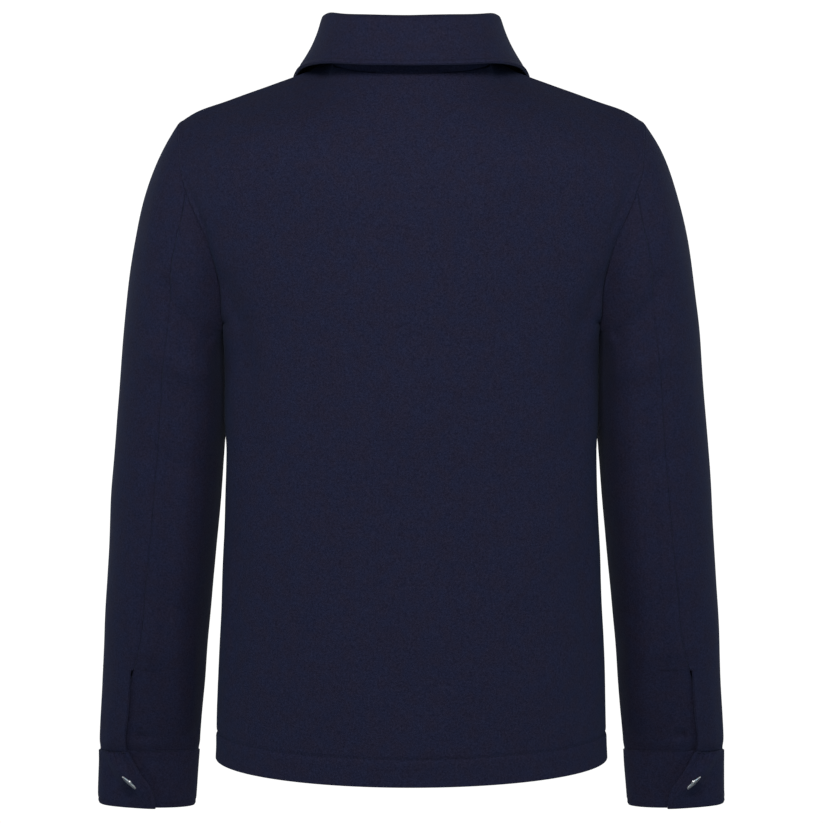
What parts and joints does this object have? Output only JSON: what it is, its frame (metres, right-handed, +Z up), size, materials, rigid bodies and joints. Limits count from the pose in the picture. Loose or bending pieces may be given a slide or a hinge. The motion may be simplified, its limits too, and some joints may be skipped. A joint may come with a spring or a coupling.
{
  "type": "shirt jacket",
  "caption": "Hip-length shirt jacket of heavy cloth, buttoned front, turned-down collar, set-in sleeves with buttoned cuffs, filled out as worn and hollow.",
  "frame": {"origin": "on the plane of symmetry, level with the neck ends of the shoulder seams, where the wearer's shoulders hold the jacket", "axes": "+Z up towards the head, +Y out of the back, +X towards the wearer's left sleeve; the buttoned front faces -Y"},
  "size_m": [0.6216, 0.2359, 0.7865],
  "materials": {
    "wool_cloth": "felted dark navy wool cloth, matt with a fine nap",
    "button_metal": "satin silver-coloured metal"
  },
  "bodies": {
    "root": {"back": "wool_cloth", "front_left": "wool_cloth", "front_right": "wool_cloth", "collar_stand": "wool_cloth", "collar_leaf": "wool_cloth", "upper_sleeve_left": "wool_cloth", "under_sleeve_left": "wool_cloth", "cuff_left": "wool_cloth", "upper_sleeve_right": "wool_cloth", "under_sleeve_right": "wool_cloth", "cuff_right": "wool_cloth", "front_button_1": "button_metal", "front_button_2": "button_metal", "front_button_3": "button_metal", "front_button_4": "button_metal", "front_button_5": "button_metal", "front_button_6": "button_metal", "cuff_button_left": "button_metal", "cuff_button_right": "button_metal"}
  },
  "joints": []
}
